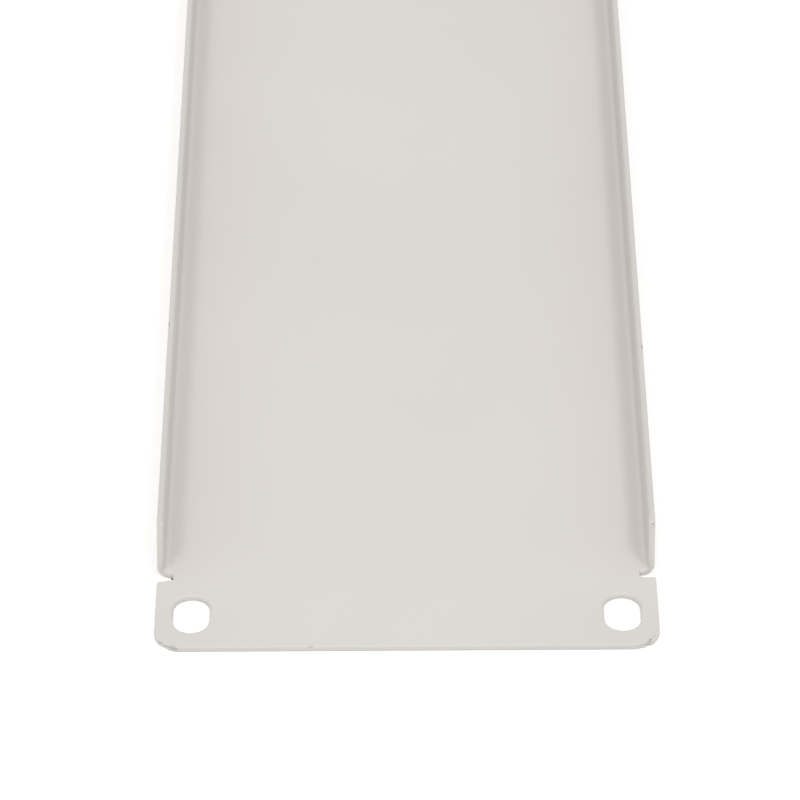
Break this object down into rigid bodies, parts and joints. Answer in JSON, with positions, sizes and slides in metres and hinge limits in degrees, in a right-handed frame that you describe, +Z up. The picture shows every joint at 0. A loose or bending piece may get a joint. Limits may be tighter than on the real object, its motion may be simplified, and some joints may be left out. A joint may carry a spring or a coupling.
{
  "type": "rack blanking panel",
  "caption": "Folded sheet-steel panel with flanged long edges and slotted ears, covers an unused space in an equipment rack.",
  "frame": {"origin": "middle of the face that shows on the rack, on the surface that the panel rests on", "axes": "+X along the panel, +Y across it, +Z up, from the face that shows towards the rack side, where the flanges stand"},
  "size_m": [0.4826, 0.089, 0.0127],
  "materials": {
    "paint": "light warm grey powder coat, satin, finely textured"
  },
  "bodies": {
    "root": {"panel": "paint"}
  },
  "joints": []
}
